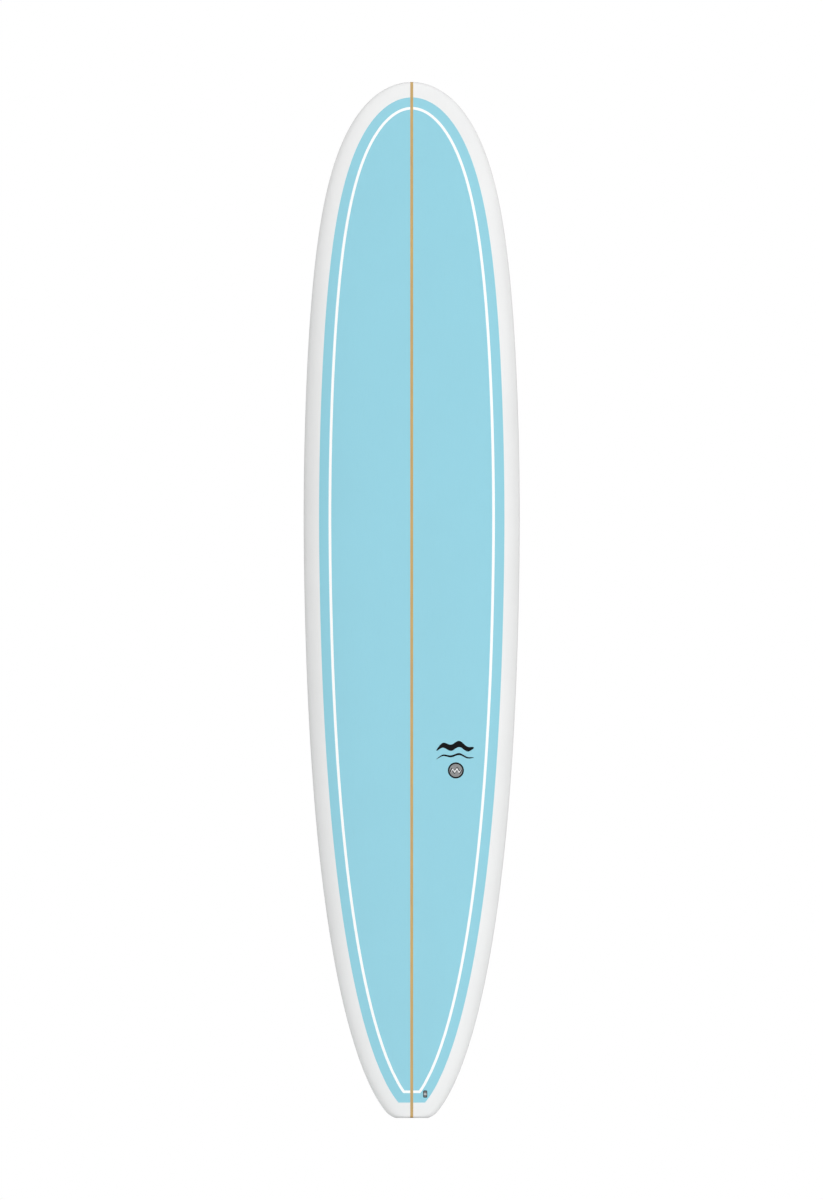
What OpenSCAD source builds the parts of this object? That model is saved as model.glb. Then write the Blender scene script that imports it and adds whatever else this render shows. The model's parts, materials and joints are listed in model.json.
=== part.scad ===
// Longboard surfboard. Two foam blank halves are glued to a wood stringer and
// laminated in clear glass, over a tinted cloth inlay and a pinline on the deck.
// The bottom holds a slotted centre fin box and two side fin boxes, with fins
// that slide or lift out.
//
// The board stands on its tail: +Z runs from the tail to the nose, +X across the
// board, the deck faces -Y and the bottom faces +Y. The origin is the centre of
// the tail's flat end face. Left and right are as seen from the deck, nose up.

/* [Board] */
// Length from the tail's end face to the nose tip
board_l = 2769; // [2650:1:2900]
// Width at the wide point
board_w = 577.6; // [540:0.1:610]
// Height of the wide point above the tail
wide_z = 1599; // [1500:1:1650]
// Thickness at the thickest station
board_t = 76; // [70:0.5:82]
// Height of the thickest station above the tail
thick_z = 1430; // [1350:10:1500]
// Thickness of the tail before its end is rounded
tail_t = 24; // [22:0.5:28]
// Rounding of the tail's end, as seen from the side
tail_round = 7; // [4:0.5:7]
// Thickness at the nose tip
nose_t = 16; // [14:0.5:20]
// Lift of the bottom at the nose
nose_rocker = 115; // [90:1:130]
// Lift of the bottom at the tail
tail_rocker = 65; // [55:1:75]
// Share of the thickness that lies below the rail's apex
rail_low = 0.38; // [0.34:0.01:0.44]

/* [Layers] */
// Thickness of the stringer
stringer_t = 7.8; // [6:0.1:9]
// Thickness of the clear glass on foam
glass_t = 2; // [1.9:0.1:2.4]
// Thickness of the clear glass over the inlay
clear_t = 1.3; // [1.2:0.1:1.4]
// Thickness of the inlay cloth
inlay_t = 0.4; // [0.3:0.05:0.45]
// Distance of the inlay's edge from the board's outline
inlay_in = 41; // [38:0.5:44]
// Distance of the pinline's outer edge from the board's outline
pin_out = 66.5; // [60:0.5:70]
// Width of the pinline
pin_w = 7; // [5:0.5:9]

/* [Centre fin] */
// Distance of the centre box from the tail
centre_box_z = 98; // [96:1:110]
// Length of the centre box
centre_box_l = 274; // [272:1:276]
// Width of the centre box
centre_box_w = 25.4; // [25:0.1:27]
// Depth of the centre box
centre_box_d = 24; // [23:0.5:25]
// Width of the centre box's slot
slot_w = 9.6; // [9.4:0.1:9.8]
// Length of the centre box's slot
slot_l = 250; // [248:1:252]
// Depth of the centre fin below the bottom
centre_fin_d = 195; // [170:5:205]
// Length of the centre fin's blade at its base
centre_fin_l = 130; // [126:1:132]

/* [Side fins] */
// Distance of each side box from the stringer's middle
side_x = 149; // [145:1:150]
// Distance of the side boxes from the tail
side_z = 338; // [334:1:345]
// Turn of each side fin's front towards the stringer, in degrees
toe_in = 3; // [0:0.5:3.5]
// Lean of each side fin away from square, in degrees
cant = 4; // [0:0.5:6]
// Depth of a side fin below the bottom
side_fin_d = 100; // [85:5:105]
// Length of a side fin at its base
side_fin_l = 104; // [100:1:105]

/* [Hidden] */
$fn = 48;

// ---- Outline, rocker and thickness ----

half_w = board_w / 2;
half_s = stringer_t / 2;
nose_l = board_l - wide_z;
// The nose half is a blend of a circle's arc and a blunter curve.
nose_blend = 0.522;
nose_power = 5.91;
// The tail half narrows by two powers of the distance from the wide point.
tail_a = 0.399;
tail_a_power = 1.62;
tail_b = 0.568;
tail_b_power = 2.775;
// The tail's corners are rounded off over this width and height.
corner_w = 9;
corner_h = 14;

function nose_half(z) =
  let (u = (z - wide_z) / nose_l)
  half_w * sqrt(max(0, 1 - nose_blend * u * u - (1 - nose_blend) * pow(u, nose_power)));
function side_half(z) =
  let (v = (wide_z - z) / wide_z)
  half_w * sqrt(1 - tail_a * pow(v, tail_a_power) - tail_b * pow(v, tail_b_power));
function half_at(z) =
  z > wide_z ? nose_half(z) : side_half(z) - corner_w * pow(max(0, 1 - z / corner_h), 2);

// The bottom is straight over the fins, then curves up to both ends.
straight_z = 500;
rocker_z = 1300;
rocker_power = 2.6;
tail_run = rocker_z - straight_z;
tail_curve = tail_rocker / (tail_run * (tail_run + 2 * straight_z));
kick = atan(2 * tail_curve * tail_run);
function rocker(z) =
  z < straight_z ? tail_curve * tail_run * (tail_run + 2 * (straight_z - z)) :
  z < rocker_z ? tail_curve * pow(rocker_z - z, 2) :
  nose_rocker * pow((z - rocker_z) / (board_l - rocker_z), rocker_power);

// Depth by which the rounding of the tail's end cuts into the deck and the bottom
function end_cut(z) =
  z < tail_round ? tail_round - sqrt(pow(tail_round, 2) - pow(tail_round - z, 2)) : 0;

thick_power = 2.5;
function thick(z) =
  let (
    end_t = z > thick_z ? nose_t : tail_t,
    reach = z > thick_z ? board_l - thick_z : thick_z
  )
  end_t + (board_t - end_t) * (1 - pow(abs(z - thick_z) / reach, thick_power)) - 2 * end_cut(z);

function bottom_y(z) = tail_t / 2 + tail_rocker - rocker(z) - end_cut(z);
function apex_y(z) = bottom_y(z) - rail_low * thick(z);

// The rail turns under over this width: short at the tail, wide further up.
tuck_tail = 22;
tuck_mid = 55;
tuck_z = 1400;
function tuck(z) =
  let (f = min(1, max(0, (z - straight_z) / (tuck_z - straight_z))))
  tuck_tail + (tuck_mid - tuck_tail) * f * f * (3 - 2 * f);

// ---- Rows and columns shared by every layer ----

// Rows run from the nose to the tail. In the nose half each starts at a point
// of the outline and runs square to it; in the tail half it is level.
nose_rows = 28;
level_rows = 11;
step_in = inlay_in - 2;
pin_in = pin_out + pin_w;
row_z = concat(
  [for (i = [0:nose_rows]) board_l - nose_l * pow(i / nose_rows, 2)],
  [for (i = [1:level_rows]) wide_z - (wide_z - straight_z) * i / level_rows],
  [440, 385, 330, 275, 225, 180, 145, 115, 92],
  [pin_in, pin_out, 54, inlay_in, step_in, 30, 22, corner_h, 10, 7, 4, glass_t, 0]
);
last_row = len(row_z) - 1;

// Columns run from the rail's apex inwards; the last four reach the stringer.
deck_in = [0, 2, 6, 13, 24, step_in, inlay_in, pin_out, pin_in];
inner_cols = 4;
deck_cols = len(deck_in) - 1 + inner_cols;
inlay_col = 6;
pin_col = 7;
tuck_in = [0, 0.1, 0.3, 0.6, 1];
tuck_cols = len(tuck_in) - 1;
bottom_inner = 3;
bottom_cols = tuck_cols + bottom_inner;

// Outward direction of the outline at a height, as [x, z]
function outward(z) =
  z > board_l - 0.01 ? [0, 1] :
  let (
    h = min(0.5, (board_l - z) / 4),
    slope = (half_at(z + h) - half_at(z - h)) / (2 * h),
    n = sqrt(1 + slope * slope)
  )
  [1 / n, -slope / n];

// Half-width at a height of the side's curve moved inwards by a distance
function inset_half(z, away, from, tries = 8) =
  let (
    slope = (side_half(from + 0.5) - side_half(from - 0.5)),
    n = sqrt(1 + slope * slope)
  )
  tries == 0 ? side_half(from) - away / n :
  inset_half(z, away, z - away * slope / n, tries - 1);

// The last rows keep the columns' share of the width, so they follow the corner.
function level_x(z, away) =
  z < inlay_in ? half_at(z) * level_x(inlay_in, away) / half_at(inlay_in) :
  let (h = away > inlay_in ? max(z, away) : z)
  inset_half(h, away, h);

// Rows near the nose lean down towards the stringer.
row_lean = 35;
function lean(i) = row_lean * (1 - pow(i / nose_rows, 2));

// Place of the deck's point in row i and column j, seen from the front, with its
// distance across the crown: 0 at the middle, 1 at the rail's apex.
function nose_point(i, away, depth) =
  let (
    z = row_z[i],
    n = outward(z),
    p = [max(half_at(z), half_s), z] - away * n,
    w = half_at(p[1])
  )
  [max(p[0], half_s), p[1], w > depth ? (w - away) / (w - depth) : 1];
function moved_in(away, depth, reach) = away + depth * max(0, 1 - away / reach);

function deck_place(i, j, depth) =
  let (last = len(deck_in) - 1)
  i < nose_rows ? (
    j <= last ? nose_point(i, moved_in(deck_in[j], depth, step_in), depth) :
    let (
      q = nose_point(i, deck_in[last], depth),
      end_z = q[1] - lean(i),
      w = half_at(end_z),
      end = [half_s, end_z, max(0, w - (board_l - end_z)) / (w - depth)]
    )
    q + (end - q) * (j - last) / inner_cols
  ) :
  let (
    z = row_z[i],
    w = half_at(z),
    away = deck_in[min(j, last)],
    edge = i == nose_rows ? w - away : away == 0 ? w : level_x(z, away),
    moved = edge - moved_in(away, depth, step_in) + away,
    x = j <= last ? moved : moved + (half_s - moved) * (j - last) / inner_cols
  )
  [x, z, x / (w - depth)];

function deck_point(i, j, depth) =
  let (
    p = deck_place(i, j, depth),
    rise = (1 - rail_low) * thick(p[1]) - depth
  )
  [p[0], apex_y(p[1]) - rise * sqrt(max(0, 1 - pow(p[2], 3))), p[1]];

function bottom_place(i, j, depth) =
  let (
    z = row_z[i],
    t = tuck(z),
    away = moved_in(t * tuck_in[min(j, tuck_cols)], depth, t),
    q = i < nose_rows ? nose_point(i, away, depth) : [half_at(z) - away, z, 0],
    end_z = i < nose_rows ? q[1] - lean(i) : z,
    f = max(0, j - tuck_cols) / bottom_inner
  )
  [q[0] + (half_s - q[0]) * f, q[1] + (end_z - q[1]) * f, (away - depth) / (t - depth)];

function bottom_point(i, j, depth) =
  let (
    p = bottom_place(i, j, depth),
    drop = rail_low * thick(p[1]) - depth
  )
  [p[0], apex_y(p[1]) + drop * sqrt(1 - pow(1 - p[2], 2)), p[1]];

// Depth of the glass's inner face: thinner where it covers the inlay
function deck_glass_depth(i, j) =
  j >= inlay_col && row_z[i] >= inlay_in ? clear_t : glass_t;

function flip(p) = [-p[0], p[1], p[2]];

// ---- Solids on the shared rows and columns ----

// A thin sheet on the deck's right half between two depths, over chosen cells
module deck_sheet(kind, top, under) {
  cols = deck_cols + 1;
  half = (last_row + 1) * cols;
  function on(i, j) =
    i < 0 || i >= last_row || j >= deck_cols ? false :
    kind == "inlay" ? j >= inlay_col && row_z[i + 1] >= inlay_in :
    (j == pin_col && row_z[i + 1] >= pin_out) || (j > pin_col && row_z[i] == pin_in);
  function wall(a, b) = [a, b, b + half, a + half];
  points = [
    for (depth = [top, under]) for (i = [0:last_row]) for (j = [0:deck_cols])
      deck_point(i, j, depth)
  ];
  faces = [
    for (i = [0:last_row - 1]) for (j = [0:deck_cols - 1]) if (on(i, j))
      let (a = i * cols + j, b = a + 1, d = a + cols, c = d + 1)
      each concat(
        [[a, d, c], [a, c, b], [a + half, c + half, d + half], [a + half, b + half, c + half]],
        on(i, j - 1) ? [] : [wall(d, a)],
        on(i, j + 1) ? [] : [wall(b, c)],
        on(i - 1, j) ? [] : [wall(a, b)],
        on(i + 1, j) ? [] : [wall(c, d)]
      )
  ];
  polyhedron(points, faces, 4);
}

// One half of the foam core, its pockets not yet cut
module blank_half() {
  end = last_row - 1;
  cols = deck_cols + 1;
  base = (end + 1) * cols;
  function deck_id(i, j) = i * cols + j;
  function low_id(i, j) = j == 0 ? i * cols : base + i * bottom_cols + j - 1;
  points = concat(
    [for (i = [0:end]) for (j = [0:deck_cols]) deck_point(i, j, glass_t)],
    [for (i = [0:end]) for (j = [1:bottom_cols]) bottom_point(i, j, glass_t)]
  );
  deck_faces = [
    for (i = [0:end - 1]) for (j = [0:deck_cols - 1])
      let (a = deck_id(i, j), b = deck_id(i, j + 1), c = deck_id(i + 1, j + 1), d = deck_id(i + 1, j))
      each [[a, d, c], [a, c, b]]
  ];
  low_faces = [
    for (i = [0:end - 1]) for (j = [0:bottom_cols - 1])
      let (a = low_id(i, j), b = low_id(i, j + 1), c = low_id(i + 1, j + 1), d = low_id(i + 1, j))
      each [[a, b, c], [a, c, d]]
  ];
  // The face on the stringer is a ladder of cells, with two fans at the nose.
  m = bottom_cols;
  n = deck_cols;
  stringer_face = concat(
    [for (i = [0:end - 1]) [deck_id(i, n), deck_id(i + 1, n), low_id(i + 1, m), low_id(i, m)]],
    [for (j = [0:n - 1]) [deck_id(0, j), deck_id(0, j + 1), low_id(0, m)]],
    [for (j = [1:m - 1]) [low_id(0, j + 1), low_id(0, j), deck_id(0, 0)]]
  );
  tail_face = concat(
    [for (j = [deck_cols:-1:0]) deck_id(end, j)],
    [for (j = [1:bottom_cols]) low_id(end, j)]
  );
  polyhedron(points, concat(deck_faces, low_faces, stringer_face, [tail_face]), 4);
}

// Point K of a full row, from the right rail to the left one. Cells on the left
// are split along the mirrored diagonal, so both halves meet the foam alike.
function full_deck(i, k, outer) =
  let (
    j = min(k, 2 * deck_cols + 1 - k),
    p = deck_point(i, j, outer ? 0 : deck_glass_depth(i, j))
  )
  k == j ? p : flip(p);
function full_bottom(i, k, depth) =
  let (j = min(k, 2 * bottom_cols + 1 - k), p = bottom_point(i, j, depth))
  k == j ? p : flip(p);

// The clear shell over the deck, from rail to rail
module deck_shell() {
  cols = 2 * deck_cols + 2;
  half = (last_row + 1) * cols;
  function both(a, b, c) = [[a, b, c], [a + half, c + half, b + half]];
  function wall(a, b) = [a, b, b + half, a + half];
  points = [
    for (outer = [true, false]) for (i = [0:last_row]) for (k = [0:cols - 1])
      full_deck(i, k, outer)
  ];
  cells = [
    for (i = [0:last_row - 1]) for (k = [0:cols - 2])
      let (a = i * cols + k, d = a + cols)
      each k <= deck_cols
        ? concat(both(a, d, d + 1), both(a, d + 1, a + 1))
        : concat(both(a, d, a + 1), both(a + 1, d, d + 1))
  ];
  nose_strip = [
    for (k = [0:deck_cols - 1])
      let (m = cols - 1 - k)
      each concat(both(k, k + 1, m - 1), both(k, m - 1, m))
  ];
  walls = concat(
    [for (i = [0:last_row - 1]) wall((i + 1) * cols, i * cols)],
    [for (i = [1:last_row]) wall(i * cols - 1, (i + 1) * cols - 1)],
    [for (k = [0:cols - 2]) wall(last_row * cols + k + 1, last_row * cols + k)],
    [wall(0, cols - 1)]
  );
  polyhedron(points, concat(cells, nose_strip, walls), 4);
}

// The clear shell under the board, with a cap over the tail's end
module bottom_shell() {
  cols = 2 * bottom_cols + 2;
  outer_n = (last_row + 1) * cols;
  end = last_row - 1;
  cap_n = 2 * deck_cols + 2;
  low_cap = outer_n + last_row * cols;
  high_cap = low_cap + cap_n;
  points = concat(
    [for (i = [0:last_row]) for (k = [0:cols - 1]) full_bottom(i, k, 0)],
    [for (i = [0:end]) for (k = [0:cols - 1]) full_bottom(i, k, glass_t)],
    [for (i = [last_row, end]) for (k = [0:cap_n - 1]) full_deck(i, k, false)]
  );
  function out_id(i, k) = i * cols + k;
  function in_id(i, k) = outer_n + i * cols + k;
  function low_id(k) = low_cap + k;
  function high_id(k) = k == 0 ? in_id(end, 0) : k == cap_n - 1 ? in_id(end, cols - 1) : high_cap + k;
  outer_cells = [
    for (i = [0:last_row - 1]) for (k = [0:cols - 2])
      let (a = out_id(i, k), d = a + cols)
      each k <= bottom_cols ? [[a, a + 1, d + 1], [a, d + 1, d]] : [[a, a + 1, d], [a + 1, d + 1, d]]
  ];
  inner_cells = [
    for (i = [0:end - 1]) for (k = [0:cols - 2])
      let (a = in_id(i, k), d = a + cols)
      each k <= bottom_cols ? [[a, d + 1, a + 1], [a, d, d + 1]] : [[a, d, a + 1], [a + 1, d, d + 1]]
  ];
  nose_strip = [
    for (k = [0:bottom_cols - 1])
      let (far = cols - 1 - k, a = outer_n + k, b = outer_n + far)
      each [[k, far - 1, k + 1], [k, far, far - 1], [a, a + 1, b - 1], [a, b - 1, b]]
  ];
  right_rim = [
    for (i = [0:end - 1]) [out_id(i, 0), out_id(i + 1, 0), in_id(i + 1, 0), in_id(i, 0)]
  ];
  e = cols - 1;
  left_rim = [
    for (i = [0:end - 1]) [out_id(i + 1, e), out_id(i, e), in_id(i, e), in_id(i + 1, e)]
  ];
  tip = [out_id(0, e), out_id(0, 0), in_id(0, 0), in_id(0, e)];
  cap_rim = [
    [out_id(end, 0), out_id(last_row, 0), low_id(0)],
    [out_id(end, 0), low_id(0), in_id(end, 0)],
    [out_id(last_row, e), out_id(end, e), in_id(end, e)],
    [out_id(last_row, e), in_id(end, e), low_id(cap_n - 1)]
  ];
  cap_top = [
    for (k = [0:cap_n - 2]) each [
      [high_id(k), low_id(k), low_id(k + 1)],
      [high_id(k), low_id(k + 1), high_id(k + 1)]
    ]
  ];
  // Both flat end faces are fans, split at the stringer.
  m = bottom_cols;
  n = deck_cols;
  end_face = concat(
    [for (k = [0:m]) [out_id(last_row, k), out_id(last_row, k + 1), low_id(k == m ? n : 0)]],
    [for (k = [m + 1:e - 1]) [out_id(last_row, k), out_id(last_row, k + 1), low_id(cap_n - 1)]],
    [for (k = [0:n - 1]) [out_id(last_row, m), low_id(k + 1), low_id(k)]],
    [for (k = [n:cap_n - 2]) [out_id(last_row, m + 1), low_id(k + 1), low_id(k)]]
  );
  cap_inside = concat(
    [for (k = [1:m - 1]) [in_id(end, k + 1), in_id(end, k), in_id(end, 0)]],
    [for (k = [0:n - 1]) [in_id(end, m), high_id(k), high_id(k + 1)]],
    [[in_id(end, m + 1), in_id(end, m), high_id(n)]],
    [for (k = [n:cap_n - 2]) [in_id(end, m + 1), high_id(k), high_id(k + 1)]],
    [for (k = [m + 1:e - 2]) [in_id(end, k + 1), in_id(end, k), in_id(end, e)]]
  );
  polyhedron(points, concat(
    outer_cells, inner_cells, nose_strip, right_rim, left_rim, [tip],
    cap_rim, cap_top, end_face, cap_inside
  ), 4);
}

// The stringer's side view, as points [y, z]
function stringer_outline() =
  let (
    end = last_row - 1,
    edge = concat(
      [for (j = [0:deck_cols]) deck_point(0, j, deck_glass_depth(0, j))],
      [for (i = [1:end]) deck_point(i, deck_cols, deck_glass_depth(i, deck_cols))],
      [for (i = [end:-1:0]) bottom_point(i, bottom_cols, glass_t)],
      [for (j = [bottom_cols - 1:-1:1]) bottom_point(0, j, glass_t)]
    )
  )
  [for (p = edge) [p[1], p[2]]];

// ---- Places on the bottom, over the straight stretch ----

// Frame on the bottom: X across, Y out of the board, Z towards the nose
module on_bottom(x, z, turn = 0) {
  translate([x, bottom_y(z), z]) rotate([-kick, 0, 0]) rotate([0, turn, 0]) children();
}

// A flat shape in X and Z, as deep as asked, with its top at height y
module sunk(depth, y = 0) {
  translate([0, y, 0]) rotate([90, 0, 0]) linear_extrude(depth) children();
}

module rounded(w, l, r) {
  translate([-w / 2, r]) square([w, l - 2 * r]);
  translate([r - w / 2, 0]) square([w - 2 * r, l]);
  for (x = [r - w / 2, w / 2 - r], z = [r, l - r]) translate([x, z]) circle(r);
}

module bar(w, l) {
  translate([-w / 2, 0]) square([w, l]);
}

box_corner = 6;
side_box_w = 26;
side_box_l = 124;
side_box_d = 17;
open_above = 1;

module centre_pocket() {
  on_bottom(0, centre_box_z)
    sunk(centre_box_d + open_above, open_above) rounded(centre_box_w, centre_box_l, box_corner);
}

module at_side_box() {
  on_bottom(side_x, side_z, -toe_in) children();
}

module side_pocket() {
  at_side_box() sunk(side_box_d + open_above, open_above) rounded(side_box_w, side_box_l, box_corner);
}

// ---- Board ----

module blank_right() {
  color("ivory") difference() {
    blank_half();
    centre_pocket();
    side_pocket();
  }
}

module blank_left() {
  mirror([1, 0, 0]) blank_right();
}

module stringer() {
  color("burlywood") difference() {
    rotate([90, 0, 90]) linear_extrude(stringer_t, center = true) polygon(stringer_outline());
    centre_pocket();
  }
}

module bottom_glass() {
  color("white", 0.35) difference() {
    bottom_shell();
    centre_pocket();
    side_pocket();
    mirror([1, 0, 0]) side_pocket();
  }
}

module deck_glass() {
  color("white", 0.35) deck_shell();
}

module inlay_right() {
  color("skyblue") deck_sheet("inlay", glass_t - inlay_t, glass_t);
}

module inlay_left() {
  mirror([1, 0, 0]) inlay_right();
}

module pinline_right() {
  color("white") deck_sheet("pinline", clear_t, glass_t - inlay_t);
}

module pinline_left() {
  mirror([1, 0, 0]) pinline_right();
}

// ---- Decals on the deck ----

decal_t = 0.25;
decal_gap = 0.03;

function deck_y(x, z) =
  apex_y(z) - (1 - rail_low) * thick(z) * sqrt(1 - pow(abs(x) / half_at(z), 3));

// Frame on the deck: X across, Z towards the nose, Y into the board
module on_deck(x, z) {
  across = (deck_y(x + 1, z) - deck_y(x - 1, z)) / 2;
  along = (deck_y(x, z + 1) - deck_y(x, z - 1)) / 2;
  translate([x, deck_y(x, z), z]) rotate([-atan(along), 0, atan(across)]) children();
}

// A broad wave with a narrow one below it, both along an arc
decal_x = 116;
decal_z = 995;
decal_w = 100;
broad_w = 17;
broad_rise = 5;
narrow_low = 25;
narrow_w = 5.5;
narrow_rise = 3;
wave_steps = 28;
wave_turn = 405;
arc_drop = 9;
function wave_z(f, low, rise) =
  decal_z - low - arc_drop * f * f + rise * sin(f * wave_turn);

module wave(low, width, rise) {
  points = [
    for (n = [0:wave_steps])
      let (
        f = 2 * n / wave_steps - 1,
        x = decal_x + f * decal_w / 2,
        z = wave_z(f, low, rise),
        h = width * sqrt(1.02 - f * f) / 2
      )
      for (edge = [-h, h]) for (up = [decal_gap, decal_gap + decal_t])
        [x, deck_y(x, z + edge) - up, z + edge]
  ];
  sides = [
    for (n = [0:wave_steps - 1])
      let (a = 4 * n, b = a + 4)
      each [
        [a, a + 1, b + 1, b], [a + 1, a + 3, b + 3, b + 1],
        [a + 3, a + 2, b + 2, b + 3], [a + 2, a, b, b + 2]
      ]
  ];
  last = 4 * wave_steps;
  ends = [[0, 2, 3, 1], [last, last + 1, last + 3, last + 2]];
  polyhedron(points, concat(sides, ends), 4);
}

module wave_decal() {
  color("black") {
    wave(0, broad_w, broad_rise);
    wave(narrow_low, narrow_w, narrow_rise);
  }
}

emblem_x = 118;
emblem_z = 929;
emblem_r = 21.5;
// The flat emblem stands off the crowned deck a little further than the waves.
emblem_gap = 0.18;
module emblem_decal() {
  color("gray") on_deck(emblem_x, emblem_z)
    translate([0, -emblem_gap, 0]) rotate([90, 0, 0]) cylinder(h = decal_t, r = emblem_r);
}

label_x = 36;
label_z = 64;
label_w = 11;
label_l = 19;
label_r = 2.5;
module tail_label() {
  color("dimgray") on_deck(label_x, label_z)
    translate([0, 0, -label_l / 2]) sunk(decal_t, -decal_gap) rounded(label_w, label_l, label_r);
}

// ---- Centre fin box ----

slot_z = (centre_box_l - slot_l) / 2;
slot_d = 20;
lip_t = 3.5;
groove_w = 15.8;
groove_h = 7;
notch_l = 8;
bar_r = 1.4;
bar_l = groove_w + 4;
bar_z = slot_z + 3.5;
bar_y = -lip_t / 2;

module leash_rod() {
  translate([-bar_l / 2, bar_y, bar_z]) rotate([0, 90, 0]) cylinder(h = bar_l, r = bar_r);
}

module centre_fin_box() {
  color("lightgray") on_bottom(0, centre_box_z) difference() {
    sunk(centre_box_d) rounded(centre_box_w, centre_box_l, box_corner);
    translate([0, 0, slot_z]) {
      sunk(slot_d + open_above, open_above) bar(slot_w, slot_l);
      sunk(groove_h, -lip_t) bar(groove_w, slot_l);
      translate([0, 0, slot_l / 2]) sunk(lip_t + open_above + 1, open_above) bar(groove_w, notch_l);
    }
    leash_rod();
  }
}

module leash_bar() {
  color("gold") on_bottom(0, centre_box_z) leash_rod();
}

// ---- Fins ----

// A blade's section is a fair symmetrical foil, thickest a third of the way back.
foil_steps = 8;
foil_edge = 0.3;
function foil_half(v, t) =
  max(foil_edge, 5 * t * (
    0.2969 * sqrt(v) - 0.126 * v - 0.3516 * pow(v, 2) + 0.2843 * pow(v, 3) - 0.1015 * pow(v, 4)
  ));
spans = [0, 0.1, 0.2, 0.3, 0.4, 0.5, 0.6, 0.7, 0.8, 0.88, 0.94, 0.98, 1];
centre_rake = 62;
centre_hollow = 36;
side_rake = 42;
side_hollow = 14;
rear_rake = 12;
tip_u = 0.85;
tip_thinner = 0.72;

// Front and rear edges at a share u of the depth, for a fin of base length l
function front_edge(u, l, rake) = l - (l + rake) * pow(u, 1.7);
function rear_edge(u, rake, hollow) = hollow * u * (1 - u) - (rake + rear_rake) * pow(u, 2.2);
function tip_round(u) = u < tip_u ? 1 : sqrt(max(0.02, 1 - pow((u - tip_u) / (1 - tip_u), 2)));

module blade(l, depth, t, rake, hollow, lean) {
  root = 1;
  ring = 2 * foil_steps + 1;
  points = [
    for (u = spans)
      let (
        rear = rear_edge(u, rake, hollow),
        front = front_edge(u, l, rake),
        mid = (front + rear) / 2,
        chord = (front - rear) * tip_round(u),
        y = u == 0 ? -root : u * depth,
        thin = t * (1 - tip_thinner * u)
      )
      for (k = [0:ring - 1])
        let (
          step = k <= foil_steps ? k : ring - k,
          v = (1 - cos(180 * step / foil_steps)) / 2,
          side = k <= foil_steps ? 1 : -1,
          half = step == 0 ? 0 : foil_half(v, thin)
        )
        [side * half + max(0, y) * tan(lean), y, mid + chord * (0.5 - v)]
  ];
  last = len(spans) - 1;
  faces = concat(
    [
      for (s = [0:last - 1]) for (k = [0:ring - 1])
        let (a = s * ring + k, b = s * ring + (k + 1) % ring)
        each [[a, b + ring, b], [a, a + ring, b + ring]]
    ],
    [[for (k = [0:ring - 1]) k], [for (k = [ring - 1:-1:0]) last * ring + k]]
  );
  polyhedron(points, faces, 4);
}

// ---- Centre fin, its pin, plate and screw ----

fin_gap = 0.3;
tab_w = slot_w - 2 * fin_gap;
tab_d = 17;
ear_l = 18;
ear_t = 3.3;
fin_rest = (slot_l - centre_fin_l - ear_l) / 2;
pin_r = 2.9;
pin_z = 9;
pin_y = -lip_t - groove_h / 2;
screw_r = 1.95;
thread_r = 2;
screw_z = centre_fin_l + ear_l / 2 + 1;
plate_w = 15;
plate_l = 13;
plate_t = 3;
plate_top = lip_t + 0.3;
head_r = 3.8;
head_h = 2.4;
head_gap = 0.05;

module at_centre_fin() {
  on_bottom(0, centre_box_z) translate([0, 0, slot_z + fin_rest]) children();
}

module cross_rod(r, l) {
  translate([-l / 2, pin_y, pin_z]) rotate([0, 90, 0]) cylinder(h = l, r = r);
}

module down_rod(r, from, to, z) {
  translate([0, from, z]) rotate([90, 0, 0]) cylinder(h = from - to, r = r);
}

module centre_fin() {
  color("dimgray") at_centre_fin() difference() {
    union() {
      blade(centre_fin_l, centre_fin_d, tab_w - 0.2, centre_rake, centre_hollow, 0);
      sunk(tab_d) bar(tab_w, centre_fin_l);
      sunk(ear_t) bar(tab_w, centre_fin_l + ear_l);
    }
    cross_rod(pin_r, tab_w + 2);
    down_rod(screw_r + 0.25, 1, -ear_t - 1, screw_z);
  }
}

module fin_pin() {
  roll_t = 1;
  slit_w = 0.8;
  color("gold") at_centre_fin() difference() {
    cross_rod(pin_r, groove_w - 0.8);
    cross_rod(pin_r - roll_t, groove_w + 1);
    translate([-groove_w / 2, pin_y - slit_w / 2, pin_z]) cube([groove_w, slit_w, pin_r + 1]);
  }
}

module fin_plate() {
  color("silver") at_centre_fin() difference() {
    translate([0, 0, screw_z - plate_l / 2]) sunk(plate_t, -plate_top) bar(plate_w, plate_l);
    down_rod(thread_r, 0, -plate_top - plate_t - 1, screw_z);
  }
}

module fin_screw() {
  shank = 10;
  cross_l = 4.4;
  cross_w = 1;
  cross_d = 1.3;
  color("silver") at_centre_fin() difference() {
    union() {
      down_rod(head_r, head_gap + head_h, head_gap, screw_z);
      down_rod(screw_r, head_gap + 0.5, -shank, screw_z);
    }
    for (turn = [0, 90])
      translate([0, head_gap + head_h, screw_z]) rotate([0, turn, 0])
        translate([-cross_l / 2, -cross_d, -cross_w / 2]) cube([cross_l, cross_d + 1, cross_w]);
  }
}

// ---- Side fin boxes, fins and grub screws ----

side_slot_w = 6.6;
side_slot_d = 14;
side_slot_l = side_fin_l + 2 * fin_gap;
side_slot_z = (side_box_l - side_slot_l) / 2;
side_tab_w = side_slot_w - 2 * fin_gap;
side_tab_d = 13.5;
grub_lean = 25;
grub_x = -8.2;
grub_r = 2.5;
grub_gap = 0.05;
grub_top = 2;
grub_end = 5.8;
dog_r = 1.2;
dog_end = 9;
front_grub = side_box_l - 26;
rear_grub = 26;

// A rod along a grub screw's axis, between two depths
module grub_rod(r, from, to, z, sides = 48) {
  translate([grub_x, 0, z]) rotate([90, 0, 0]) rotate([0, grub_lean, 0])
    translate([0, 0, from]) cylinder(h = to - from, r = r, $fn = sides);
}

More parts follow.
